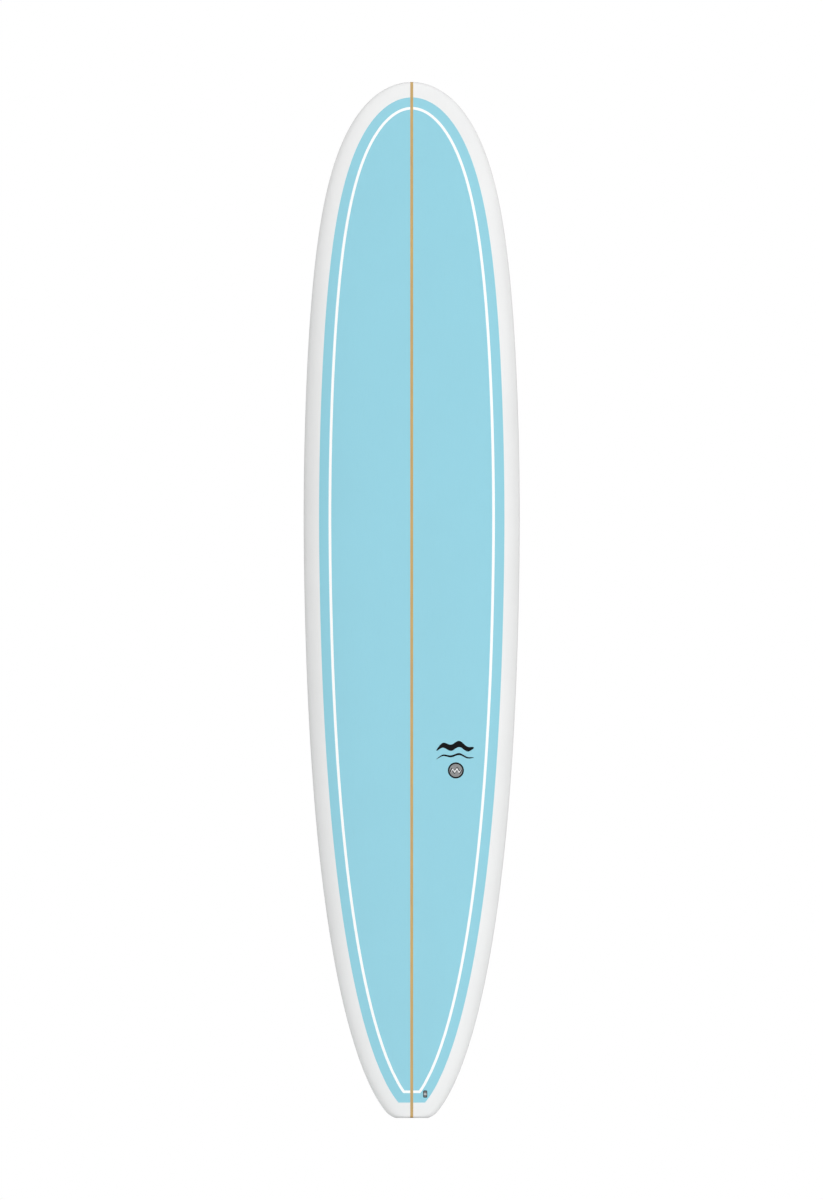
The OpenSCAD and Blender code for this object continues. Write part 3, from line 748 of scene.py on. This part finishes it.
def tail_cap():
    """A plate over the tail's end, inside the skins' own rims."""
    rim = np.concatenate([DECK[SKIN_T][-1], BOTTOM[SKIN_T][-1][::-1]])
    outline = [(x, y) for x, y in rim[:, :2]]
    points, faces = prism(outline, 0, SKIN_T)
    return points[:, [0, 2, 1]], faces


cap = tail_cap()
bottom_skin = new_piece(
    "bottom_skin", *joined(low_half, mirrored(low_half), cap, mirrored(cap))
)
shape_by(
    bottom_skin,
    [
        box_cutter(CENTRE_BOX, AT_CENTRE),
        box_cutter(SIDE_BOX, AT_SIDE["right"]),
        box_cutter(SIDE_BOX, AT_SIDE["left"]),
    ],
    "DIFFERENCE",
)
dress(bottom_skin, WHITE, "board", "clear_glass", "bottom_glass")

# ---- The stringer, out to the true surface ----


def at_centre_box(y, z):
    """A place in the centre fin box's frame, as the board's y and z."""
    p = AT_CENTRE @ Vector((0, y * MM, z * MM))
    return (p.y / MM, p.z / MM)


def stringer_outline():
    """The stringer's side view as points of y and z, with the fin box's notch."""
    _, length, depth = CENTRE_BOX
    notch = [at_centre_box(*p) for p in ((0, 0), (-depth, 0), (-depth, length), (0, length))]
    deck_edge = [tuple(p[1:]) for p in DECK[0][0]] + [tuple(p[1:]) for p in DECK[0][1:, -1]]
    low_edge = [tuple(p[1:]) for p in BOTTOM[0][::-1, -1]]
    below = [p for p in low_edge if p[1] < notch[0][1]]
    above = [p for p in low_edge if p[1] > notch[3][1]]
    nose_edge = [tuple(p[1:]) for p in BOTTOM[0][0][-2:0:-1]]
    return deck_edge + below + notch + above + nose_edge


points, faces = prism(stringer_outline(), -HALF_S, HALF_S)
stringer_strip = new_piece("stringer_strip", points[:, [1, 0, 2]], faces)
dress(stringer_strip, WOOD, "board", "stringer_wood", "stringer")

for piece in [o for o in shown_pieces() if "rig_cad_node" not in o]:
    shade_true(piece)

# ---- Marks on the deck ----

# A mark stands this far proud of the true surface, and reaches this far into it.
# The emblem's field lies lower than the marks beside it, and what lies on a mark stands higher.
MARK_PROUD, MARK_DEEP = 0.08, 0.5
FIELD_PROUD, TOP_PROUD = 0.04, 0.13
WAVE_X, WAVE_Z, WAVE_W = 116, 995, 100
WAVE_ARC, WAVE_TURN = 9, 405
BROAD_W, BROAD_RISE = 17, 5
NARROW_LOW, NARROW_W, NARROW_RISE = 25, 5.5, 3
EMBLEM_X, EMBLEM_Z, EMBLEM_R = 118, 929, 21.5
RING_W = 4.2
FIELD_R = EMBLEM_R - RING_W
SHADE_L, SHADE_W = 1.5 * EMBLEM_R, 11
CREST_L, CREST_W = 1.25 * EMBLEM_R, 6
CREST_ARC, CREST_RISE = 2, 3.5
LABEL_X, LABEL_Z, LABEL_W, LABEL_L, LABEL_R = 36, 64, 11, 19, 2.5
LABEL_RIM, BAR_L, BAR_STEP, BAR_R = 1.7, 3.2, 5, 0.5
# A ribbon's ends keep the root of this share of its width, and a patch's ends lose this share.
END_SHARE, END_LOSS = 0.02, 0.001


def on_deck(x, z, depth):
    """Points of the deck's true surface at x and z, moved in by a depth."""
    across = np.sqrt(np.maximum(0, 1 - (np.abs(x) / half_at(z)) ** 3))
    y = apex_y(z) - (1 - RAIL_LOW) * thick(z) * across + depth
    return np.stack([x, y, z], axis=-1)


def mark(x, z, proud=MARK_PROUD):
    """A thin patch that follows the deck over a grid of x and z."""
    return shell(on_deck(x, z, -proud), on_deck(x, z, MARK_DEEP))


def ribbon(x, z, reach, width, arc, rise, proud=MARK_PROUD):
    """A band that waves along an arc, tapered to its ends."""
    f, across = np.meshgrid(np.linspace(-1, 1, 121), np.linspace(-1, 1, 7), indexing="ij")
    line_z = z - arc * f**2 + rise * np.sin(np.radians(WAVE_TURN) * f)
    half = width * np.sqrt(1 + END_SHARE - f**2) / 2
    return mark(x + f * reach / 2, line_z + across * half, proud)


def disc(x, z, inner, outer, steps=72, rings=4, proud=MARK_PROUD):
    """A round patch, or a ring, about a place on the deck."""
    turn, r = np.meshgrid(
        np.linspace(0, 2 * math.pi, steps + 1), np.linspace(inner, outer, rings), indexing="ij"
    )
    return mark(x + r * np.cos(turn), z + r * np.sin(turn), proud)


def patch(x, z, w, l, r, steps=8, proud=MARK_PROUD):
    """A rounded rectangle centred on a place on the deck, laid out on level rows."""
    ends = r * (1 - np.cos(np.linspace(0, math.pi / 2, steps)))
    rows = np.concatenate([z - l / 2 + ends, z + l / 2 - ends[::-1]])
    drawn_in = r - np.sqrt(np.maximum(0, r**2 - (r - ends) ** 2))
    half = w / 2 - np.concatenate([drawn_in, drawn_in[::-1]]) * (1 - END_LOSS)
    across, level = np.meshgrid(np.linspace(-1, 1, 7), rows)
    return mark(x + across * half[:, None], level, proud)


def bar(up):
    """One of the label's plain bars, this far above the label's centre."""
    return patch(
        LABEL_X, LABEL_Z + up, LABEL_W - 2 * LABEL_RIM, BAR_L, BAR_R, proud=TOP_PROUD
    )


waves = joined(
    ribbon(WAVE_X, WAVE_Z, WAVE_W, BROAD_W, WAVE_ARC, BROAD_RISE),
    ribbon(WAVE_X, WAVE_Z - NARROW_LOW, WAVE_W, NARROW_W, WAVE_ARC, NARROW_RISE),
)
ring = disc(EMBLEM_X, EMBLEM_Z, FIELD_R, EMBLEM_R)
field = disc(EMBLEM_X, EMBLEM_Z, 0, FIELD_R, rings=8, proud=FIELD_PROUD)
shade = ribbon(EMBLEM_X, EMBLEM_Z, SHADE_L, SHADE_W, CREST_ARC, CREST_RISE)
crest = ribbon(EMBLEM_X, EMBLEM_Z, CREST_L, CREST_W, CREST_ARC, CREST_RISE, TOP_PROUD)
label = patch(LABEL_X, LABEL_Z, LABEL_W, LABEL_L, LABEL_R)
marks = {
    "wave_mark": (waves, DARK, "dark_print", "wave_decal"),
    "emblem_ring": (ring, DARK, "grey_print", "emblem_decal"),
    "emblem_field": (field, GREY, "grey_print", "emblem_decal"),
    "emblem_shade": (shade, DARK, "dark_print", "emblem_decal"),
    "emblem_crest": (crest, PALE, "grey_print", "emblem_decal"),
    "label_frame": (label, DARK, "dark_print", "tail_label"),
    "label_bars": (joined(bar(-BAR_STEP), bar(BAR_STEP)), GREY, "grey_print", "tail_label"),
    "label_centre": (bar(0), PALE, "grey_print", "tail_label"),
}
for name, (shape, ink, slot, node) in marks.items():
    piece = new_piece(name, *shape)
    dress(piece, ink, "board", slot, node)
    shade_true(piece)

# ---- Fins ----

FOIL_EDGE = 0.3
FOIL_STEPS = 24
# From this share of a blade's depth, its tip is round, down to a blunt end.
TIP_U, TIP_BLUNT = 0.85, 0.02
TIP_THINNER = 0.72
REAR_RAKE = 12
ROOT = 1
SPANS = np.concatenate([
    np.linspace(0, TIP_U, 30),
    TIP_U + (1 - TIP_U) * np.sin(np.linspace(0.08, math.pi / 2, 16)),
])
CENTRE_FIN_L, CENTRE_FIN_D, CENTRE_FIN_RAKE, CENTRE_FIN_HOLLOW = 130, 195, 62, 36
SLOT_L, TAB_W, TAB_D, EAR_L, EAR_T = 250, 9.0, 17, 18, 3.3
FIN_PLACE = (CENTRE_BOX[1] - SLOT_L) / 2 + (SLOT_L - CENTRE_FIN_L - EAR_L) / 2
PIN_R, PIN_Y, PIN_Z = 2.9, -7, 9
SCREW_HOLE_R, SCREW_Z = 2.2, CENTRE_FIN_L + EAR_L / 2 + 1
SIDE_FIN_L, SIDE_FIN_D, SIDE_FIN_RAKE, SIDE_FIN_HOLLOW = 104, 100, 42, 14
SIDE_TAB_W, SIDE_TAB_D = 6.0, 13.5
SIDE_FIN_PLACE = (SIDE_BOX[1] - SIDE_FIN_L) / 2
# How much thinner a blade is than the base that it stands on.
BLADE_LESS, SIDE_BLADE_LESS = 0.2, 0.1
CANT = math.radians(4)


def foil_half(v, t):
    """Half the thickness of a fair foil at a share v of its chord."""
    shape = 0.2969 * np.sqrt(v) - 0.126 * v - 0.3516 * v**2 + 0.2843 * v**3 - 0.1015 * v**4
    return np.maximum(FOIL_EDGE, 5 * t * shape)


def blade(length, depth, t, rake, hollow, cant):
    """A swept, foiled blade as rings from the root to the tip."""
    step = np.concatenate([np.arange(FOIL_STEPS + 1), np.arange(FOIL_STEPS, 0, -1)])
    side = np.concatenate([np.ones(FOIL_STEPS + 1), -np.ones(FOIL_STEPS)])
    v = (1 - np.cos(math.pi * step / FOIL_STEPS)) / 2
    ring = len(step)
    rings = []
    for u in SPANS:
        rear = hollow * u * (1 - u) - (rake + REAR_RAKE) * u**2.2
        front = length - (length + rake) * u**1.7
        past = max(0, (u - TIP_U) / (1 - TIP_U))
        chord = (front - rear) * math.sqrt(max(TIP_BLUNT, 1 - past**2))
        y = -ROOT if u == 0 else u * depth
        half = np.where(step == 0, 0, foil_half(v, t * (1 - TIP_THINNER * u)))
        x = side * half + max(0, y) * math.tan(cant)
        z = (front + rear) / 2 + chord * (0.5 - v)
        rings.append(np.stack([x, np.full(ring, y), z], axis=-1))
    faces = []
    for base in range(0, (len(SPANS) - 1) * ring, ring):
        for k in range(ring):
            after = (k + 1) % ring
            faces.append((base + k, base + after, base + ring + after, base + ring + k))
    last = (len(SPANS) - 1) * ring
    faces += [tuple(range(ring)), tuple(last + k for k in range(ring))]
    return np.concatenate(rings), faces


def block(w, l, depth):
    """A fin's base: a plain block below the bottom's face."""
    outline = [(-w / 2, 0), (w / 2, 0), (w / 2, l), (-w / 2, l)]
    return prism(outline, -depth, 0)


def rod(r, start, end, steps=48):
    """A round bar between two points."""
    start, end = Vector(start), Vector(end)
    turn = (end - start).to_track_quat("Z", "Y").to_matrix()
    around = [2 * math.pi * k / steps for k in range(steps)]
    ring = [turn @ Vector((r * math.cos(a), r * math.sin(a), 0)) for a in around]
    points = [p + end_point for end_point in (start, end) for p in ring]
    faces = [(k, (k + 1) % steps, (k + 1) % steps + steps, k + steps) for k in range(steps)]
    faces += [tuple(range(steps)), tuple(range(2 * steps - 1, steps - 1, -1))]
    return np.array(points), faces


at_fin = AT_CENTRE @ Matrix.Translation((0, 0, FIN_PLACE * MM))
centre = new_piece(
    "centre_fin_blade",
    *blade(
        CENTRE_FIN_L, CENTRE_FIN_D, TAB_W - BLADE_LESS, CENTRE_FIN_RAKE, CENTRE_FIN_HOLLOW, 0
    ),
    at_fin,
)
shape_by(
    centre,
    [
        new_piece("tab", *block(TAB_W, CENTRE_FIN_L, TAB_D), at_fin),
        new_piece("ear", *block(TAB_W, CENTRE_FIN_L + EAR_L, EAR_T), at_fin),
    ],
    "UNION",
)
shape_by(
    centre,
    [
        new_piece("hole", *rod(PIN_R, (-TAB_W, PIN_Y, PIN_Z), (TAB_W, PIN_Y, PIN_Z)), at_fin),
        new_piece("hole", *rod(SCREW_HOLE_R, (0, -EAR_T - 1, SCREW_Z), (0, 1, SCREW_Z)), at_fin),
    ],
    "DIFFERENCE",
)
shade_by_angle(centre)
dress(centre, FIN, "centre_fin", "fin_resin", "centre_fin")

for side, cant in (("right", CANT), ("left", -CANT)):
    place = AT_SIDE[side] @ Matrix.Translation((0, 0, SIDE_FIN_PLACE * MM))
    side_t = SIDE_TAB_W - SIDE_BLADE_LESS
    fin = new_piece(
        f"side_fin_blade_{side}",
        *blade(SIDE_FIN_L, SIDE_FIN_D, side_t, SIDE_FIN_RAKE, SIDE_FIN_HOLLOW, cant),
        place,
    )
    shape_by(fin, [new_piece("tab", *block(SIDE_TAB_W, SIDE_FIN_L, SIDE_TAB_D), place)], "UNION")
    shade_by_angle(fin)
    dress(fin, FIN, f"side_fin_{side}", "fin_resin", f"side_fin_{side}")

# ---- CAD nodes that stay ----

CAD_LOOKS = {
    "blank_left": FOAM, "blank_right": FOAM,
    "centre_fin_box": PLASTIC, "side_fin_box_left": PLASTIC, "side_fin_box_right": PLASTIC,
    "leash_bar": BRASS, "fin_pin": BRASS,
    "fin_plate": STEEL, "fin_screw": STEEL,
    "front_screw_left": STEEL, "rear_screw_left": STEEL,
    "front_screw_right": STEEL, "rear_screw_right": STEEL,
}
for name, material in CAD_LOOKS.items():
    node = frame["nodes"][name]
    if not node.material_slots:
        node.data.materials.append(material)
    for held in node.material_slots:
        held.material = material

# ---- Floor, light and camera ----

FLOOR_HALF = 60.0
FLOOR_GAP = 0.5
FRONT_FILL, REAR_FILL = 0.58, 0.46
SCREEN, SCREEN_FROM, SCREEN_EDGE = 1.32, (0.07, -0.997, 0.0), math.cos(math.radians(57))
# Each lamp's strength and the way its light goes. All are as broad as a large soft box.
LAMP_ANGLE = math.radians(50)
LAMPS = {
    "key": (0.69, (-1.44, 1.0, -0.3)),
    "fill": (0.1, (0.71, 1.0, -0.2)),
    "rear_key": (1.2, (-0.35, -1.0, -0.3)),
}


def pale_floor():
    """A wide pale floor, just under the tail's end, that glossy surfaces don't mirror."""
    look = Look("pale_floor", (0.86, 0.86, 0.855), 0.7)
    clouds = look.noise(0.7, 3)
    look.paint("Base Color", look.ramp(clouds, 0.3, 0.7, look.shaded(0.99), look.shaded(1.01)))
    size = FLOOR_HALF / MM
    corners = [(-size, -size), (size, -size), (size, size), (-size, size)]
    floor = new_piece("floor", [(x, y, -FLOOR_GAP) for x, y in corners], [(0, 1, 2, 3)])
    floor.data.materials.append(look.material)
    floor.visible_glossy = False


def soft_studio():
    """White where the camera sees past the board, a wide screen behind the camera, and lamps."""
    scene = bpy.context.scene
    world = bpy.data.worlds.new("studio")
    world.use_nodes = True
    scene.world = world
    tree = world.node_tree
    backdrop = tree.nodes["Background"]
    backdrop.inputs["Color"].default_value = (1, 1, 1, 1)
    way = tree.nodes.new("ShaderNodeTexCoord").outputs["Generated"]

    def graded(value, low, high, start, end, kind="LINEAR"):
        made = tree.nodes.new("ShaderNodeMapRange")
        made.interpolation_type = kind
        tree.links.new(value, made.inputs["Value"])
        ends = {"From Min": low, "From Max": high, "To Min": start, "To Max": end}
        for key, number in ends.items():
            made.inputs[key].default_value = number
        return made.outputs["Result"]

    apart = tree.nodes.new("ShaderNodeSeparateXYZ")
    tree.links.new(way, apart.inputs[0])
    towards = tree.nodes.new("ShaderNodeVectorMath")
    towards.operation = "DOT_PRODUCT"
    towards.inputs[1].default_value = SCREEN_FROM
    tree.links.new(way, towards.inputs[0])
    strength = tree.nodes.new("ShaderNodeMath")
    strength.operation = "ADD"
    around = graded(apart.outputs["Y"], -1, 1, FRONT_FILL, REAR_FILL)
    screen = graded(towards.outputs["Value"], SCREEN_EDGE, 1, 0, SCREEN, "SMOOTHSTEP")
    tree.links.new(around, strength.inputs[0])
    tree.links.new(screen, strength.inputs[1])

    fill = tree.nodes.new("ShaderNodeBackground")
    fill.inputs["Color"].default_value = (0.99, 1, 1, 1)
    tree.links.new(strength.outputs[0], fill.inputs["Strength"])
    seen = tree.nodes.new("ShaderNodeLightPath").outputs["Is Camera Ray"]
    mix = tree.nodes.new("ShaderNodeMixShader")
    tree.links.new(seen, mix.inputs[0])
    tree.links.new(fill.outputs[0], mix.inputs[1])
    tree.links.new(backdrop.outputs[0], mix.inputs[2])
    tree.links.new(mix.outputs[0], tree.nodes["World Output"].inputs["Surface"])

    for name, (energy, way_down) in LAMPS.items():
        light = bpy.data.lights.new(name, "SUN")
        light.energy, light.angle = energy, LAMP_ANGLE
        lamp = bpy.data.objects.new(name, light)
        lamp.rotation_euler = Vector(way_down).to_track_quat("-Z", "Y").to_euler()
        lamp.visible_glossy = False
        scene.collection.objects.link(lamp)


# The view's height in board lengths, its place across, and its distance, in metres.
VIEW_LENGTHS, VIEW_X, VIEW_AWAY, VIEW_REACH = 1.1584, -0.0006, 8, 200


def photo_camera():
    """Square on to the deck, without perspective, as in the photograph."""
    lo, hi = cad_box
    camera = bpy.data.cameras.new("camera")
    camera.type = "ORTHO"
    camera.ortho_scale = (hi.z - lo.z) * VIEW_LENGTHS
    camera.clip_end = VIEW_REACH
    view = bpy.data.objects.new("camera", camera)
    view.location = (VIEW_X, -VIEW_AWAY, (lo.z + hi.z) / 2)
    view.rotation_euler = (math.pi / 2, 0, 0)
    bpy.context.scene.collection.objects.link(view)
    bpy.context.scene.camera = view


pale_floor()
soft_studio()
photo_camera()
bpy.context.scene.view_settings.view_transform = "Standard"
